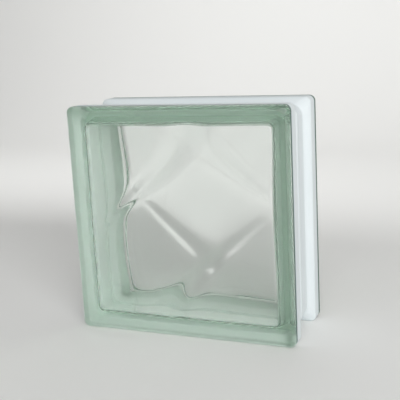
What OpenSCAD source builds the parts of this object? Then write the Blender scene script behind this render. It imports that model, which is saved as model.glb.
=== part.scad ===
// Hollow glass block: two pressed glass shells, fused rim to rim into one sealed piece.
// The block stands on its lower edge, with one face to the front and one to the back.
// The inside of each face carries a wave relief: two ridges across it, each in a wide trough.

/* [Block] */
// Side of the square face
face_side = 190; // [160:1:240]
// Thickness from face to face
block_depth = 80; // [70:1:100]
// Corner radius of the outline, seen from the front
corner_r = 5; // [4.5:0.5:8]

/* [Flange and mortar channel] */
// Rounding of the rim, where a face turns into the edge
rim_r = 4; // [2:0.5:4]
// Flat land on the edge of each flange, for the mortar bed
land_width = 13; // [8:0.5:16]
// Run of the slope from the land down to the channel
slope_run = 6; // [4:0.5:9]
// Depth of the mortar channel round the block
channel_depth = 6; // [4:0.5:6.5]
// Corner radius of the channel's floor
channel_corner_r = 9; // [5:0.5:12]

/* [Fused seam] */
// Width of the seam bead
seam_width = 6; // [3:0.5:8]
// Height of the seam bead in the mortar channel
seam_height_out = 0.9; // [0.3:0.1:1.5]
// Height of the seam bead inside the hollow
seam_height_in = 0.8; // [0.3:0.1:1.5]

/* [Walls] */
// Thickness of each face clear of the relief
face_thickness = 8; // [7:0.5:12]
// Thickness of the wall under the mortar channel, beside the seam
wall_thickness = 4.5; // [4:0.5:8]
// How much the hollow narrows on each side from the seam to a face
wall_draft = 2.5; // [0.5:0.25:3]
// Fillet where a wall meets a face, inside
inner_fillet = 4; // [3.5:0.5:5]
// Corner radius of the hollow, at the foot of the fillet
hollow_corner_r = 6; // [5.5:0.5:14]

/* [Wave relief] */
// Distance of a ridge from the middle of the face
ridge_offset = 41; // [36:1:46]
// How far the ends of a ridge bow towards its corner
ridge_bow = 4; // [0:0.5:6]
// How far a ridge sways to either side of that bow
ridge_sway = 1.8; // [0:0.1:3]
// Half width of a ridge, half way along it
ridge_width = 6; // [5:0.5:8]
// How many times wider a ridge is at its full end than half way along it
ridge_spread = 2.3; // [1:0.1:3]
// Height of a ridge at its full end, above its trough
ridge_height = 4.5; // [0.5:0.5:5]
// Depth of the trough under a ridge
trough_depth = 3; // [0.5:0.5:3]
// Half width of the trough
trough_width = 30; // [20:1:40]

/* [Hidden] */

half_side = face_side / 2;
half_depth = block_depth / 2;

// Half sizes of the square cores inside the corner radii of the flanges and of the waist between them
flange_core = half_side - corner_r;
waist_core = half_side - channel_depth - channel_corner_r;

// How far a slope runs into the flange and the waist at its ends, and how much it stands back from them
slope_seat = 0.5;
slope_inset = 0.05;

// Levels along the depth, from the seam at 0 towards a face
slope_top = half_depth - rim_r - land_width;
slope_foot = slope_top - slope_run;
floor_level = half_depth - face_thickness;

// Half sizes of the hollow, at the seam, at the foot of the fillet and on the face
hollow_half = half_side - channel_depth - wall_thickness;
wall_half = hollow_half - wall_draft;
floor_half = wall_half - inner_fillet;
floor_corner_r = hollow_corner_r - inner_fillet;

// Half length of a ridge, from the middle of one side of the face to the middle of the next
ridge_reach = wall_half / sqrt(2);

// Facets of the curves, and cells across the inside of a face
rim_steps = 8;
slope_steps = 8;
corner_steps = 8;
seam_steps = 4;
fillet_steps = 3;
lattice = 42;
lap = 4 * lattice;
slope_lap = 4 * (corner_steps + 1);

// Soft step from 0 to 1, level at both ends
function ease(t) = (1 - cos(180 * t)) / 2;

// Section of a flange's edge, from its slope to its face, as [reach beyond the core, level]
function flange_section() = concat(
    [[0, slope_top], [corner_r, slope_top]],
    [for (i = [0 : rim_steps])
        let (a = 90 * i / rim_steps)
        [corner_r - rim_r + rim_r * cos(a), half_depth - rim_r + rim_r * sin(a)]],
    [[0, half_depth]]);

// Section of the waist's edge: the channel's floor, with the seam bead along the middle of it
function waist_section() = concat(
    [[0, -slope_foot], [channel_corner_r, -slope_foot]],
    [for (i = [-seam_steps : seam_steps])
        let (t = i / seam_steps)
        [channel_corner_r + seam_height_out * ease(1 - abs(t)), t * seam_width / 2]],
    [[channel_corner_r, slope_foot], [0, slope_foot]]);

// Body with a square core and an edge section swept round it
module swept_body(core, low, high, section) {
    translate([-core, -core, low])
        cube([2 * core, 2 * core, high - low]);
    for (turn = [0 : 90 : 270])
        rotate([0, 0, turn])
            translate([core, 0, 0]) {
                rotate([90, 0, 0])
                    linear_extrude(height = 2 * core, center = true)
                        polygon(section);
                translate([0, core, 0])
                    rotate_extrude(angle = 90, $fn = 64)
                        polygon(section);
            }
}

// One lap of a slope: a rounded square at share t of the way from the channel's floor to the land
function slope_ring(t, level) =
    let (half = half_side - slope_inset - channel_depth * (1 - t),
         r = channel_corner_r + t * (corner_r - channel_corner_r))
    [for (turn = [0 : 90 : 270]) for (i = [0 : corner_steps])
        let (a = turn + 90 * i / corner_steps,
             reach = (half - r) * sqrt(2))
        [reach * cos(turn + 45) + r * cos(a), reach * sin(turn + 45) + r * sin(a), level]];

// Slope of a flange, lofted from the waist to the outline of the flange
module slope() {
    points = concat(
        slope_ring(0, slope_foot - slope_seat),
        [for (i = [0 : slope_steps])
            let (t = i / slope_steps)
            each slope_ring(ease(t), slope_foot + t * slope_run)],
        slope_ring(1, slope_top + slope_seat));
    top_start = len(points) - slope_lap;
    sides = [for (start = [0 : slope_lap : top_start - 1]) for (m = [0 : slope_lap - 1])
        let (low = start + m,
             next = start + (m + 1) % slope_lap)
        [low + slope_lap, next + slope_lap, next, low]];
    foot = [for (m = [0 : slope_lap - 1]) m];
    top = [for (m = [slope_lap - 1 : -1 : 0]) top_start + m];
    polyhedron(points, concat([foot, top], sides));
}

// Full form of the block, lying flat with its seam at level 0
module outer_form() {
    swept_body(waist_core, -slope_foot, slope_foot, waist_section());
    for (side = [0, 1])
        mirror([0, 0, side]) {
            slope();
            swept_body(flange_core, slope_top, half_depth, flange_section());
        }
}

// Height at place p of the ridge across the upper left corner; it grows from the left side up to the top
function ridge(p) =
    let (along = (p[0] + p[1]) / sqrt(2) / ridge_reach,
         course = ridge_offset + ridge_bow * along * along - ridge_sway * sin(180 * along),
         aside = (p[1] - p[0]) / sqrt(2) - course,
         t = min(1, max(-1, along)),
         crest = ridge_height * (1 + t) / 2 * exp(-pow(aside / (ridge_width * pow(ridge_spread, t)), 2)))
    crest - trough_depth * exp(-pow(aside / trough_width, 2));

// Height of the wave relief at place p: the ridge, and the same ridge half a turn round
function relief(p) = ridge(p) + ridge(-p);

// Place on the outline of a rounded square, for place p on the outline of the unit square
function on_outline(half, r, p) =
    let (straight = half - r,
         over = [abs(p[0]) * half - straight, abs(p[1]) * half - straight],
         bent = [straight, straight] + r * over / norm(over))
    min(over) > 0 ? [sign(p[0]) * bent[0], sign(p[1]) * bent[1]] : half * p;

// Lattice cell and unit square place of step m round the rim of a face
function rim_cell(m) =
    m < lattice ? [m, 0]
    : m < 2 * lattice ? [lattice, m - lattice]
    : m < 3 * lattice ? [3 * lattice - m, lattice]
    : [0, lap - m];
function unit_place(cell) = 2 * cell / lattice - [1, 1];

// Inside of a face: side 1 is the front, and side -1 the same shell turned about the upright axis
function floor_place(cell) =
    let (u = unit_place(cell), ring = max(abs(u[0]), abs(u[1])))
    ring == 0 ? [0, 0] : ring * on_outline(floor_half, floor_corner_r, u / ring);
function side_relief(p, side) = relief([side * p[0], p[1]]);
function floor_points(side) = [for (j = [0 : lattice]) for (i = [0 : lattice])
    let (p = floor_place([i, j]))
    [p[0], p[1], side * (floor_level - side_relief(p, side))]];

// One lap of the wall, with the share of the relief that still shows in it
function wall_lap(side, half, r, level, share) = [for (m = [0 : lap - 1])
    let (p = on_outline(half, r, unit_place(rim_cell(m))))
    [p[0], p[1], side * (level - share * side_relief(floor_place(rim_cell(m)), side))]];
function fillet_lap(side, a) = wall_lap(side,
    floor_half + inner_fillet * sin(a), floor_corner_r + inner_fillet * sin(a),
    floor_level - inner_fillet * (1 - cos(a)), cos(a));
function seam_lap(side, height, level) = wall_lap(side, hollow_half - height, hollow_corner_r, level, 0);

function fillet_points(side) = [for (i = [1 : fillet_steps])
    let (step = side > 0 ? i : fillet_steps + 1 - i)
    each fillet_lap(side, 90 * step / fillet_steps)];
function hollow_points() = concat(
    floor_points(1),
    fillet_points(1),
    seam_lap(1, 0, seam_width / 2),
    seam_lap(1, seam_height_in, 0),
    seam_lap(-1, 0, seam_width / 2),
    fillet_points(-1),
    floor_points(-1));

// Point numbers: on the lattice of a face, and on the laps from the front rim to the back rim
floor_count = (lattice + 1) * (lattice + 1);
lap_count = 2 * fillet_steps + 3;
back_start = floor_count + lap_count * lap;
function floor_index(start, i, j) = start + j * (lattice + 1) + i;
function lap_index(row, m) =
    let (step = m % lap, cell = rim_cell(step))
    row == 0 ? floor_index(0, cell[0], cell[1])
    : row > lap_count ? floor_index(back_start, cell[0], cell[1])
    : floor_count + (row - 1) * lap + step;

// Two triangles of a cell, split along its a-c diagonal
function split_cell(a, b, c, d) = [[a, b, c], [a, c, d]];

// Facets of the hollow; on each face the split runs along the ridges
function front_faces() = [for (j = [0 : lattice - 1]) for (i = [0 : lattice - 1])
    each split_cell(floor_index(0, i, j), floor_index(0, i, j + 1),
        floor_index(0, i + 1, j + 1), floor_index(0, i + 1, j))];
function back_faces() = [for (j = [0 : lattice - 1]) for (i = [0 : lattice - 1])
    each split_cell(floor_index(back_start, i + 1, j), floor_index(back_start, i + 1, j + 1),
        floor_index(back_start, i, j + 1), floor_index(back_start, i, j))];
function wall_faces() = [for (row = [0 : lap_count]) for (m = [0 : lap - 1])
    each split_cell(lap_index(row, m), lap_index(row, m + 1),
        lap_index(row + 1, m + 1), lap_index(row + 1, m))];

// Sealed hollow between the two shells, lying flat with the seam at level 0
module hollow() {
    polyhedron(hollow_points(), concat(front_faces(), wall_faces(), back_faces()));
}

// The whole block, stood on its lower edge
module glass_block() {
    color([0.74, 0.84, 0.78, 0.55])
        translate([0, 0, half_side])
            rotate([90, 0, 0])
                difference() {
                    outer_form();
                    hollow();
                }
}

glass_block();
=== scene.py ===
"""Dresses the hollow glass block: green pressed glass, white bond coat on its edges, pale studio sweep."""

import logging
import math
from dataclasses import dataclass
from enum import Enum

import bpy
import numpy as np
from mathutils import Matrix, Vector


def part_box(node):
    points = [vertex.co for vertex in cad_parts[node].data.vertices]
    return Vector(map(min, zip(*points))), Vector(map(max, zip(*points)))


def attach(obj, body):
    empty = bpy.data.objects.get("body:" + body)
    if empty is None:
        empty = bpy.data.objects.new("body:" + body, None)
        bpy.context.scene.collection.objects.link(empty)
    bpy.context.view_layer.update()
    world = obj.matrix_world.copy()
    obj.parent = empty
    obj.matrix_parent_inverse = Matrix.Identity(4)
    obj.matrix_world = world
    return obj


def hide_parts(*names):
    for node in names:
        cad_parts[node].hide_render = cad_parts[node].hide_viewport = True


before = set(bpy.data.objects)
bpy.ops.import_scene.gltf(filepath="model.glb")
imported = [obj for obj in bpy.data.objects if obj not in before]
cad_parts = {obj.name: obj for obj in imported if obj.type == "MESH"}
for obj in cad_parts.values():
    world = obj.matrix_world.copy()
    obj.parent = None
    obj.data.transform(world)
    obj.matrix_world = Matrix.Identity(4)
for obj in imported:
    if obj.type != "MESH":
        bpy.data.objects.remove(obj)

MM = 0.001
TINY = 1e-9
NODE = "glass_block"
BODY = "root"
PHOTO_SIDE_PX = 400
SENSOR_MM = 36.0
GLASS_BOUNCES = 64
DIFFUSE_BOUNCES = 32

log = logging.getLogger("glass_block")


class Shell(Enum):
    """The two pressed shells: the sign of a shell's levels above the seam, towards its face."""

    FRONT = 1
    BACK = -1


class Surface(Enum):
    """The finishes of the block, as indices of its material slots."""

    GLASS = 0
    COAT = 1
    SEAM = 2


def linear(hex_colour: str) -> tuple[float, float, float, float]:
    """Turns an sRGB hex colour into a linear colour with full alpha.

    Args:
        hex_colour: six hex digits, red, green and blue.

    Returns:
        Linear red, green, blue and an alpha of 1.
    """
    channels = (int(hex_colour[i:i + 2], 16) / 255 for i in (0, 2, 4))
    bent = [c / 12.92 if c <= 0.04045 else ((c + 0.055) / 1.055) ** 2.4 for c in channels]
    return (bent[0], bent[1], bent[2], 1.0)


def add_node(
    tree: bpy.types.NodeTree, kind: str, inputs: dict[str | int, object] | None = None, **settings: object,
) -> bpy.types.Node:
    """Adds a node with its settings, its input values and its links.

    Args:
        tree: the node tree that takes the node.
        kind: the node's type name.
        inputs: by name or number of each input, its value or the output socket that feeds it.
        settings: properties of the node itself.

    Returns:
        The new node.
    """
    node = tree.nodes.new(kind)
    for name, value in settings.items():
        setattr(node, name, value)
    for key, value in (inputs or {}).items():
        if isinstance(value, bpy.types.NodeSocket):
            tree.links.new(value, node.inputs[key])
        else:
            node.inputs[key].default_value = value
    return node


def new_material(name: str) -> bpy.types.Material:
    """Makes a node material that has no nodes yet.

    Args:
        name: the material's name.

    Returns:
        The empty material.
    """
    material = bpy.data.materials.new(name)
    material.use_nodes = True
    material.node_tree.nodes.clear()
    return material


def ease(t: np.ndarray | float) -> np.ndarray | float:
    """Soft step from 0 to 1 that is level at both ends."""
    return (1 - np.cos(np.pi * t)) / 2


@dataclass(frozen=True)
class PressedGlass:
    """Soda-lime glass, pressed hot and fire-polished: mirror-smooth, with the green of its iron in depth."""

    ior: float = 1.52
    roughness: float = 0.0
    tint: str = "ffffff"
    depth_colour: str = "aed0bb"
    density_per_m: float = 15.0
    swell_mm: float = 45.0
    swell_height_mm: float = 0.05

    def material(self) -> bpy.types.Material:
        """Builds the glass: clear at its surface, green where light crosses much of it.

        Returns:
            The glass material.
        """
        # The mould leaves a long, very low swell, so straight lines seen through the glass waver a little
        material = new_material("pressed_soda_lime_glass")
        tree = material.node_tree
        place = add_node(tree, "ShaderNodeTexCoord")
        swell = add_node(
            tree, "ShaderNodeTexNoise",
            {"Vector": place.outputs["Object"], "Scale": 1 / (self.swell_mm * MM), "Detail": 1.0},
        )
        bump = add_node(
            tree, "ShaderNodeBump",
            {"Height": swell.outputs["Fac"], "Distance": self.swell_height_mm * MM, "Strength": 1.0},
        )
        shader = add_node(
            tree, "ShaderNodeBsdfPrincipled",
            {
                "Base Color": linear(self.tint),
                "Roughness": self.roughness,
                "IOR": self.ior,
                "Transmission Weight": 1.0,
                "Normal": bump.outputs["Normal"],
            },
        )
        depth = add_node(
            tree, "ShaderNodeVolumeAbsorption",
            {"Color": linear(self.depth_colour), "Density": self.density_per_m},
        )
        add_node(
            tree, "ShaderNodeOutputMaterial",
            {"Surface": shader.outputs["BSDF"], "Volume": depth.outputs["Volume"]},
        )
        return material


@dataclass(frozen=True)
class BondCoat:
    """White polymer bond coat, brushed on the edges: matt, with its glass side painted whiter than its
    outside as painted light, and a painted shade band along the rims.
    """

    colour: str = "e3e8ea"
    thin_colour: str = "d2dbdd"
    # painted shade: the dark green of the glass seen edge on, painted in a band along the rims
    rim_shade_colour: str = "4f6a63"
    rim_shade_mm: float = 4.5
    # painted light: the glass side is painted whiter than the outside, for light that comes through the thin
    # coat
    lit_glass_side: str = "ffffff"
    thin_lit_glass_side: str = "f6f9f8"
    stroke_mm: float = 5.0
    stroke_stretch: float = 20.0
    roughness: float = 0.6
    specular: float = 0.3

    def material(self, rim_level_mm: float) -> bpy.types.Material:
        """Builds the coat: white with faint thinner strokes, a painted shade band along the rims for the dark
        glass showing through, and a glass side painted whiter as painted light.

        Args:
            rim_level_mm: how far from the seam the rims begin.

        Returns:
            The coat material.
        """
        material = new_material("brushed_white_bond_coat")
        tree = material.node_tree
        place = add_node(tree, "ShaderNodeTexCoord")
        # Bristle marks run along the edges; real ones are finer, and these are as coarse as they need to show
        along = 1 / self.stroke_stretch
        lengthened = add_node(
            tree, "ShaderNodeVectorMath",
            {0: place.outputs["Object"], 1: (along, 1.0, along)}, operation="MULTIPLY",
        )
        strokes = add_node(
            tree, "ShaderNodeTexNoise",
            {"Vector": lengthened.outputs["Vector"], "Scale": 1 / (self.stroke_mm * MM), "Detail": 3.0},
        )
        thin = strokes.outputs["Fac"]
        outer = add_node(
            tree, "ShaderNodeMixRGB",
            {"Fac": thin, "Color1": linear(self.colour), "Color2": linear(self.thin_colour)},
        )
        # Painted shade: along the rims the coat is painted dark green for the dark glass, seen edge on, where
        # the brush runs dry; it shows as a line at the end of each flange
        axes = add_node(tree, "ShaderNodeSeparateXYZ", {"Vector": place.outputs["Object"]})
        level = add_node(tree, "ShaderNodeMath", {0: axes.outputs["Y"]}, operation="ABSOLUTE")
        rim_shade_band = add_node(
            tree, "ShaderNodeMapRange",
            {
                "Value": level.outputs["Value"],
                "From Min": (rim_level_mm - self.rim_shade_mm) * MM,
                "From Max": (rim_level_mm - self.rim_shade_mm / 2) * MM,
            },
            interpolation_type="SMOOTHSTEP",
        )
        rim_shaded = add_node(
            tree, "ShaderNodeMixRGB",
            {
                "Fac": rim_shade_band.outputs["Result"],
                "Color1": outer.outputs["Color"],
                "Color2": linear(self.rim_shade_colour),
            },
        )
        # Painted light: the side facing into the glass is painted whiter than the outside, standing in for
        # light that the thin coat lets through
        inner = add_node(
            tree, "ShaderNodeMixRGB",
            {"Fac": thin, "Color1": linear(self.lit_glass_side), "Color2": linear(self.thin_lit_glass_side)},
        )
        facing = add_node(tree, "ShaderNodeNewGeometry")
        side = add_node(
            tree, "ShaderNodeMixRGB",
            {
                "Fac": facing.outputs["Backfacing"],
                "Color1": rim_shaded.outputs["Color"],
                "Color2": inner.outputs["Color"],
            },
        )
        shader = add_node(
            tree, "ShaderNodeBsdfPrincipled",
            {
                "Base Color": side.outputs["Color"],
                "Roughness": self.roughness,
                "Specular IOR Level": self.specular,
            },
        )
        add_node(tree, "ShaderNodeOutputMaterial", {"Surface": shader.outputs["BSDF"]})
        return material


@dataclass(frozen=True)
class FusedSeam:
    """Glass that boiled where the hot rims met: fine bubbles make the joint milky, deep in the wall."""

    colour: str = "fafdfb"
    let_through: float = 0.5

    def material(self) -> bpy.types.Material:
        """Builds the milky joint.

        Returns:
            The seam material.
        """
        # The bubbles scatter light to both sides, so the joint is a pale band where a wall is seen end on
        material = new_material("bubbly_fused_seam")
        tree = material.node_tree
        near = add_node(tree, "ShaderNodeBsdfDiffuse", {"Color": linear(self.colour)})
        far = add_node(tree, "ShaderNodeBsdfTranslucent", {"Color": linear(self.colour)})
        mix = add_node(
            tree, "ShaderNodeMixShader",
            {"Fac": self.let_through, 1: near.outputs["BSDF"], 2: far.outputs["BSDF"]},
        )
        add_node(tree, "ShaderNodeOutputMaterial", {"Surface": mix.outputs["Shader"]})
        return material


@dataclass(frozen=True)
class BackgroundPaper:
    """Uncoated background paper from the roll: an even, pale tone without gloss."""

    colour: str = "f0f0ee"
    roughness: float = 0.9
    specular: float = 0.1

    def material(self) -> bpy.types.Material:
        """Builds the paper.

        Returns:
            The paper material.
        """
        material = new_material("matt_background_paper")
        tree = material.node_tree
        shader = add_node(
            tree, "ShaderNodeBsdfPrincipled",
            {
                "Base Color": linear(self.colour),
                "Roughness": self.roughness,
                "Specular IOR Level": self.specular,
            },
        )
        add_node(tree, "ShaderNodeOutputMaterial", {"Surface": shader.outputs["BSDF"]})
        return material


@dataclass(frozen=True)
class EdgeSection:
    """Section of the block's edge: rounded rim, land, slope, mortar channel and seam, in millimetres."""

    corner_r: float = 5.0
    waist_corner_r: float = 9.0
    rim_r: float = 4.0
    land_width: float = 13.0
    slope_run: float = 6.0
    channel_depth: float = 6.0
    seam_width: float = 6.0
    seam_height_out: float = 0.9
    rim_steps: int = 20
    slope_steps: int = 24
    seam_steps: int = 12

    def half(self, half_depth: float) -> tuple[np.ndarray, np.ndarray]:
        """Traces the section from a face to the seam.

        Args:
            half_depth: half the block's depth.

        Returns:
            Depth under the outline, corner radius and level above the seam of each point, one row each,
            and the finish of the band after each point.
        """
        a = np.linspace(np.pi / 2, 0, self.rim_steps + 1)
        under = self.rim_r * (1 - np.cos(a))
        rim = np.stack([under, self.corner_r - under, half_depth - self.rim_r * (1 - np.sin(a))], 1)
        slope_top = half_depth - self.rim_r - self.land_width
        t = np.linspace(0, 1, self.slope_steps + 1)
        down = ease(t)
        slope_r = self.corner_r + (self.waist_corner_r - self.corner_r) * down
        slope = np.stack([self.channel_depth * down, slope_r, slope_top - self.slope_run * t], 1)
        s = np.linspace(0, 1, self.seam_steps + 1)
        rise = self.seam_height_out * ease(s)
        seam_level = self.seam_width / 2 * (1 - s)
        seam = np.stack([self.channel_depth - rise, self.waist_corner_r + rise, seam_level], 1)
        section = np.concatenate([rim, slope, seam])
        finish = np.full(len(section), Surface.COAT.value)
        finish[: self.rim_steps] = Surface.GLASS.value
        return section, finish


@dataclass(frozen=True)
class WaveRelief:
    """Two ridges across the inside of a face, each in a wide shallow trough, in millimetres."""

    ridge_offset: float = 41.0
    ridge_reach: float = 58.0
    ridge_bow: float = 4.0
    ridge_sway: float = 1.8
    ridge_width: float = 6.0
    ridge_spread: float = 2.3
    ridge_height: float = 4.5
    trough_depth: float = 3.0
    trough_width: float = 30.0

    def ridge(self, p: np.ndarray) -> np.ndarray:
        """Height of the ridge across the upper left corner, which grows from the face's side to its top.

        Args:
            p: places on the face, one row each, in millimetres from its middle.

        Returns:
            The height at each place, with the ridge's trough.
        """
        along = p.sum(axis=1) / math.sqrt(2) / self.ridge_reach
        course = self.ridge_offset + self.ridge_bow * along ** 2 - self.ridge_sway * np.sin(np.pi * along)
        aside = (p[:, 1] - p[:, 0]) / math.sqrt(2) - course
        t = np.clip(along, -1, 1)
        width = self.ridge_width * self.ridge_spread ** t
        crest = self.ridge_height * (1 + t) / 2 * np.exp(-(aside / width) ** 2)
        return crest - self.trough_depth * np.exp(-(aside / self.trough_width) ** 2)

    def height(self, p: np.ndarray) -> np.ndarray:
        """Height of the relief at places p: the ridge, and the same ridge half a turn round."""
        return self.ridge(p) + self.ridge(-p)


class MeshParts:
    """Points, faces and finishes of a mesh, gathered piece by piece."""

    def __init__(self) -> None:
        """Starts with no points."""
        self.points: list[np.ndarray] = []
        self.faces: list[list[int]] = []
        self.finishes: list[int] = []
        self.count = 0

    def add_points(self, points: np.ndarray) -> int:
        """Adds points to the mesh.

        Args:
            points: the points, one row each.

        Returns:
            The number of the first of them.
        """
        start = self.count
        self.points.append(points)
        self.count += len(points)
        return start

    def add_loops(self, starts: list[int], size: int, finishes: list[int]) -> None:
        """Joins closed loops of the same size, each to the next, with bands of quads.

        Args:
            starts: number of the first point of each loop.
            size: points in a loop.
            finishes: finish of each band.
        """
        for upper, lower, finish in zip(starts, starts[1:], finishes):
            for m in range(size):
                after = (m + 1) % size
                self.faces.append([upper + m, lower + m, lower + after, upper + after])
                self.finishes.append(finish)

    def mesh(self, name: str) -> bpy.types.Mesh:
        """Makes a smooth-shaded mesh in metres from what was gathered in millimetres.

        Args:
            name: the mesh's name.

        Returns:
            The mesh.
        """
        mesh = bpy.data.meshes.new(name)
        mesh.from_pydata(np.concatenate(self.points) * MM, [], self.faces)
        mesh.polygons.foreach_set("material_index", self.finishes)
        mesh.shade_smooth()
        mesh.validate()
        return mesh


@dataclass
class GlassBlock:
    """The fused glass block, in millimetres, lying with its seam at level 0 until it is stood up."""

    face_side: float
    block_depth: float
    edge: EdgeSection
    relief: WaveRelief
    face_thickness: float = 8.0
    wall_thickness: float = 4.5
    wall_draft: float = 2.5
    inner_fillet: float = 4.0
    hollow_corner_r: float = 6.0
    seam_height_in: float = 0.8
    corner_steps: int = 12
    side_steps: int = 8
    lattice: int = 144
    fillet_steps: int = 8
    seam_steps: int = 6
    face_support_mm: float = 1.0
    wall_support: float = 0.03
    seam_clear: float = 0.05

    @property
    def waist_half(self) -> float:
        """Half the side of the waist, at the floor of the mortar channel."""
        return self.face_side / 2 - self.edge.channel_depth

    @property
    def hollow_half(self) -> float:
        """Half the side of the hollow beside the seam."""
        return self.waist_half - self.wall_thickness

    @property
    def wall_half(self) -> float:
        """Half the side of the hollow at the foot of a fillet."""
        return self.hollow_half - self.wall_draft

    @property
    def floor_half(self) -> float:
        """Half the side of the hollow on a face, inside the fillet."""
        return self.wall_half - self.inner_fillet

    @property
    def floor_corner_r(self) -> float:
        """Corner radius of the hollow on a face."""
        return self.hollow_corner_r - self.inner_fillet

    @property
    def floor_level(self) -> float:
        """Level of a face's inside, clear of the relief."""
        return self.block_depth / 2 - self.face_thickness

    def stand(self, places: np.ndarray, level: np.ndarray | float) -> np.ndarray:
        """Stands lying places up: levels run towards the front, and the lower edge is at the bottom.

        Args:
            places: lying places, one row each.
            level: their levels above the seam, or the one level of all of them.

        Returns:
            The places in space, one row each.
        """
        across, up = places.T
        return np.stack([across, np.full_like(across, -level), up + self.face_side / 2], 1)

    def outline(self, half: float, r: float) -> np.ndarray:
        """Loop round a rounded square.

        Args:
            half: half its side.
            r: its corner radius.

        Returns:
            Places on the loop, counter-clockwise from the foot of the upper right corner.
        """
        straight = half - r
        places = []
        for turn in range(4):
            a = np.pi / 2 * (turn + np.linspace(0, 1, self.corner_steps + 1))
            out = np.stack([np.cos(a), np.sin(a)], 1)
            centre = straight * (out[0] + out[-1])
            along = 2 * straight * np.linspace(0, 1, self.side_steps + 1)[1:-1, None] * out[0]
            places += [centre + r * out, centre + r * out[-1] - along]
        return np.concatenate(places)

    def add_outside(self, parts: MeshParts) -> None:
        """Adds the faces, rims, flanges, channel and seam of the outside.

        Args:
            parts: the mesh that takes them.
        """
        section, finish = self.edge.half(self.block_depth / 2)
        support = section[:1] + np.array([[self.face_support_mm, 0, 0]])
        upper = np.concatenate([support, section])
        lower = upper[-2::-1] * np.array([1, 1, -1])
        glass = [Surface.GLASS.value]
        bands = glass + list(finish[:-1]) + list(finish[-2::-1]) + glass
        starts = []
        for under, r, level in np.concatenate([upper, lower]):
            loop = self.outline(self.face_side / 2 - under, r)
            starts.append(parts.add_points(self.stand(loop, level)))
        size = len(loop)
        parts.add_loops(starts, size, bands)
        parts.faces.append(list(range(starts[0], starts[0] + size)))
        parts.faces.append(list(range(starts[-1] + size - 1, starts[-1] - 1, -1)))
        parts.finishes += glass + glass

    def add_seam(self, parts: MeshParts) -> None:
        """Adds the fused joint: the milky ring across the wall, at level 0.

        Args:
            parts: the mesh that takes it.
        """
        outer_half = self.waist_half + self.edge.seam_height_out - self.seam_clear
        inner_half = self.hollow_half - self.seam_height_in + self.seam_clear
        starts = []
        for half, r in ((outer_half, self.edge.waist_corner_r), (inner_half, self.hollow_corner_r)):
            loop = self.outline(half, r)
            starts.append(parts.add_points(self.stand(loop, 0.0)))
        parts.add_loops(starts, len(loop), [Surface.SEAM.value])

    def on_outline(self, half: float, r: float, p: np.ndarray) -> np.ndarray:
        """Bends places on the outline of the unit square onto a rounded square.

        Args:
            half: half the rounded square's side.
            r: its corner radius.
            p: places on the unit square's outline, one row each.

        Returns:
            The places on the rounded square.
        """
        straight = half - r
        over = np.abs(p) * half - straight
        length = np.maximum(np.hypot(over[:, 0], over[:, 1]), TINY)
        bent = np.sign(p) * (straight + r * over / length[:, None])
        return np.where((over.min(axis=1) > 0)[:, None], bent, half * p)

    def wall_laps(self, shell: Shell, rim_unit: np.ndarray, rim_high: np.ndarray) -> list[np.ndarray]:
        """Laps of the hollow's wall in one shell, from the fillet at its face to the seam.

        Args:
            shell: the shell; the lap on the seam itself goes with the front one.
            rim_unit: places once round the unit square, one row each.
            rim_high: the relief's height at the rim of the face, for each of those places.

        Returns:
            The places on each lap, stood up.
        """
        rows: list[tuple[float, float, np.ndarray | float]] = []
        for a in np.linspace(0, np.pi / 2, self.fillet_steps + 1)[1:]:
            grown = self.inner_fillet * np.sin(a)
            level = self.floor_level - self.inner_fillet * (1 - np.cos(a)) - rim_high * np.cos(a)
            rows.append((self.floor_half + grown, self.floor_corner_r + grown, level))
        foot = self.floor_level - self.inner_fillet
        bead_level = self.edge.seam_width / 2
        for t in (self.wall_support, 1 - self.wall_support):
            half = self.wall_half + self.wall_draft * t
            rows.append((half, self.hollow_corner_r, foot + (bead_level - foot) * t))
        for s in np.linspace(0, 1, self.seam_steps + 1)[: None if shell is Shell.FRONT else -1]:
            half = self.hollow_half - self.seam_height_in * ease(s)
            rows.append((half, self.hollow_corner_r, bead_level * (1 - s)))
        laps = [(self.on_outline(half, r, rim_unit), level) for half, r, level in rows]
        return [self.stand(lap, shell.value * level) for lap, level in laps]

    def add_hollow(self, parts: MeshParts) -> None:
        """Adds the sealed hollow: relief on both faces, fillets, drafted walls and the seam inside.

        Args:
            parts: the mesh that takes it.
        """
        n = self.lattice
        cells = np.stack(np.meshgrid(np.arange(n + 1), np.arange(n + 1)), -1).reshape(-1, 2)
        unit = 2 * cells / n - 1
        ring = np.abs(unit).max(axis=1, keepdims=True)
        places = ring * self.on_outline(self.floor_half, self.floor_corner_r, unit / np.maximum(ring, TINY))
        k = np.arange(n)
        rim = np.concatenate([k, k * (n + 1) + n, n * (n + 1) + n - k, (n - k) * (n + 1)])
        laps: list[np.ndarray] = []
        floors: dict[Shell, int] = {}
        for shell in Shell:
            high = self.relief.height(places * np.array([shell.value, 1]))
            floors[shell] = parts.add_points(self.stand(places, shell.value * (self.floor_level - high)))
            own = self.wall_laps(shell, unit[rim], high[rim])
            laps += own if shell is Shell.FRONT else own[::-1]
        self.close_hollow(parts, floors, rim, [parts.add_points(lap) for lap in laps])

    def close_hollow(
        self, parts: MeshParts, floors: dict[Shell, int], rim: np.ndarray, starts: list[int],
    ) -> None:
        """Adds the hollow's faces, which look into the hollow.

        Args:
            parts: the mesh that takes them.
            floors: number of the first point of each face's lattice.
            rim: lattice numbers once round the rim of a face.
            starts: number of the first point of each lap of the wall, from the front to the back.
        """
        n = self.lattice
        front, back = floors[Shell.FRONT], floors[Shell.BACK]
        before = len(parts.faces)
        for j in range(n):
            for i in range(n):
                a, b = j * (n + 1) + i, (j + 1) * (n + 1) + i
                parts.faces.append([front + a, front + b, front + b + 1, front + a + 1])
                parts.faces.append([back + a, back + a + 1, back + b + 1, back + b])
        rows = [front + rim] + [start + np.arange(len(rim)) for start in starts] + [back + rim]
        for upper, lower in zip(rows, rows[1:]):
            parts.faces += np.stack([upper, np.roll(upper, -1), np.roll(lower, -1), lower], 1).tolist()
        parts.finishes += [Surface.GLASS.value] * (len(parts.faces) - before)

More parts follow.
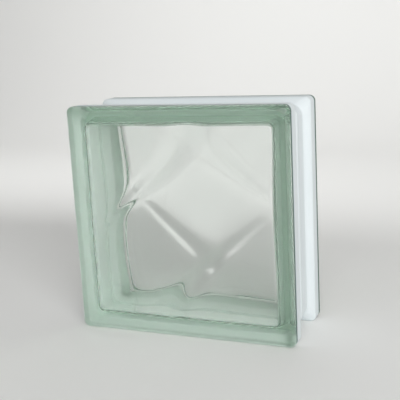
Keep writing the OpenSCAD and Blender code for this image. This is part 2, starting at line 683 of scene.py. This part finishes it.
    def build(self) -> bpy.types.Object:
        """Builds the block as one mesh of its outside, its sealed hollow and the joint in its wall.

        Returns:
            The block's object.
        """
        parts = MeshParts()
        self.add_outside(parts)
        self.add_hollow(parts)
        self.add_seam(parts)
        block = bpy.data.objects.new("fused_glass_block", parts.mesh("fused_glass_block"))
        bpy.context.scene.collection.objects.link(block)
        return block

    def dress(self, block: bpy.types.Object, glass: PressedGlass, coat: BondCoat, seam: FusedSeam) -> None:
        """Gives the block its finishes, and ties it to the frame.

        Args:
            block: the block's object.
            glass: finish of the faces, the rims and the hollow.
            coat: finish of the edges.
            seam: finish of the fused joint.
        """
        rim_level = self.block_depth / 2 - self.edge.rim_r
        for material in (glass.material(), coat.material(rim_level), seam.material()):
            block.data.materials.append(material)
        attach(block, BODY)
        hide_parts(NODE)


@dataclass(frozen=True)
class Lamp:
    """A soft box: where it stands, what it faces, its size and its power."""

    name: str
    place_m: tuple[float, float, float]
    aim_m: tuple[float, float, float]
    side_m: float
    power_w: float

    def build(self) -> bpy.types.Object:
        """Makes the lamp, turned to its aim.

        Returns:
            The lamp's object.
        """
        data = bpy.data.lights.new(self.name, "AREA")
        data.shape = "SQUARE"
        data.size = self.side_m
        data.energy = self.power_w
        lamp = bpy.data.objects.new(self.name, data)
        lamp.location = self.place_m
        lamp.rotation_euler = (Vector(self.aim_m) - lamp.location).to_track_quat("-Z", "Y").to_euler()
        bpy.context.scene.collection.objects.link(lamp)
        return lamp


@dataclass
class Studio:
    """Pale paper sweep, soft lamps, even room light and the camera at the photograph's viewing angle."""

    width_m: float = 6.0
    front_m: float = 2.5
    back_m: float = 0.9
    bend_m: float = 0.6
    height_m: float = 3.0
    bend_steps: int = 24
    clearance_m: float = 0.0002
    lamps: tuple[Lamp, ...] = (
        Lamp("key_softbox", (1.5, -1.8, 0.9), (0.1, 0.8, 0.2), 1.2, 35.0),
        Lamp("high_softbox", (0.6, -1.6, 1.8), (0.0, 0.2, 0.1), 1.0, 10.0),
        Lamp("backdrop_softbox", (-0.4, 0.5, 0.8), (-0.4, 1.5, 0.5), 1.2, 4.6),
    )
    room_colour: str = "ffffff"
    room_strength: float = 0.32
    azimuth_deg: float = 23.37
    elevation_deg: float = 12.33
    roll_deg: float = -3.05
    distance_m: float = 0.67293
    target_m: tuple[float, float, float] = (0.00404, 0.0, 0.10701)
    focal_px: float = 804.5

    def build_sweep(self, paper: BackgroundPaper) -> bpy.types.Object:
        """Makes the paper sweep: floor, bend and back in one sheet, a hair below the block's own faces.

        Args:
            paper: finish of the sheet.

        Returns:
            The sweep's object.
        """
        a = np.linspace(0, np.pi / 2, self.bend_steps + 1)
        bend = np.stack([self.back_m + self.bend_m * np.sin(a), self.bend_m * (1 - np.cos(a))], 1)
        line = np.concatenate([[[-self.front_m, 0]], bend, [[self.back_m + self.bend_m, self.height_m]]])
        sides = (-self.width_m / 2, self.width_m / 2)
        points = [(x, y, z - self.clearance_m) for x in sides for y, z in line]
        n = len(line)
        faces = [(i, n + i, n + i + 1, i + 1) for i in range(n - 1)]
        mesh = bpy.data.meshes.new("paper_sweep")
        mesh.from_pydata(points, [], faces)
        mesh.shade_smooth()
        mesh.materials.append(paper.material())
        sweep = bpy.data.objects.new("paper_sweep", mesh)
        bpy.context.scene.collection.objects.link(sweep)
        return sweep

    def build_camera(self) -> bpy.types.Object:
        """Makes the camera and sets it as the scene's camera.

        Returns:
            The camera's object.
        """
        data = bpy.data.cameras.new("camera")
        data.sensor_width = SENSOR_MM
        data.lens = self.focal_px / PHOTO_SIDE_PX * SENSOR_MM
        camera = bpy.data.objects.new("camera", data)
        az, el = math.radians(self.azimuth_deg), math.radians(self.elevation_deg)
        back = Vector((math.sin(az) * math.cos(el), -math.cos(az) * math.cos(el), math.sin(el)))
        roll = Matrix.Rotation(math.radians(self.roll_deg), 3, "Z").to_quaternion()
        camera.location = Vector(self.target_m) + back * self.distance_m
        camera.rotation_euler = ((-back).to_track_quat("-Z", "Y") @ roll).to_euler()
        bpy.context.scene.collection.objects.link(camera)
        bpy.context.scene.camera = camera
        return camera

    def build_light(self) -> None:
        """Makes the lamps and the even light of the room."""
        for lamp in self.lamps:
            lamp.build()
        world = bpy.data.worlds.new("room")
        world.use_nodes = True
        background = world.node_tree.nodes["Background"]
        background.inputs["Color"].default_value = linear(self.room_colour)
        background.inputs["Strength"].default_value = self.room_strength
        bpy.context.scene.world = world


def set_light_paths(scene: bpy.types.Scene) -> None:
    """Lets light cross the block's many glass surfaces, sharp in bounced light too, and sets the plain view.

    Args:
        scene: the scene that is rendered.
    """
    scene.cycles.blur_glossy = 0.0
    scene.cycles.max_bounces = GLASS_BOUNCES
    scene.cycles.transmission_bounces = GLASS_BOUNCES
    scene.cycles.glossy_bounces = GLASS_BOUNCES
    scene.cycles.diffuse_bounces = DIFFUSE_BOUNCES
    scene.view_settings.view_transform = "Standard"


def main() -> None:
    """Builds the block and its studio, and reports each piece."""
    logging.basicConfig(level=logging.INFO, format="%(name)s: %(message)s")
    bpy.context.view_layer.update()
    low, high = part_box(NODE)
    size = (high - low) / MM
    block = GlassBlock(size.x, size.y, EdgeSection(), WaveRelief())
    piece = block.build()
    block.dress(piece, PressedGlass(), BondCoat(), FusedSeam())
    log.info("%s: %d faces", piece.name, len(piece.data.polygons))
    studio = Studio()
    for staged in (studio.build_sweep(BackgroundPaper()), studio.build_camera()):
        log.info("%s is set up", staged.name)
    studio.build_light()
    set_light_paths(bpy.context.scene)


if __name__ == "__main__":
    main()
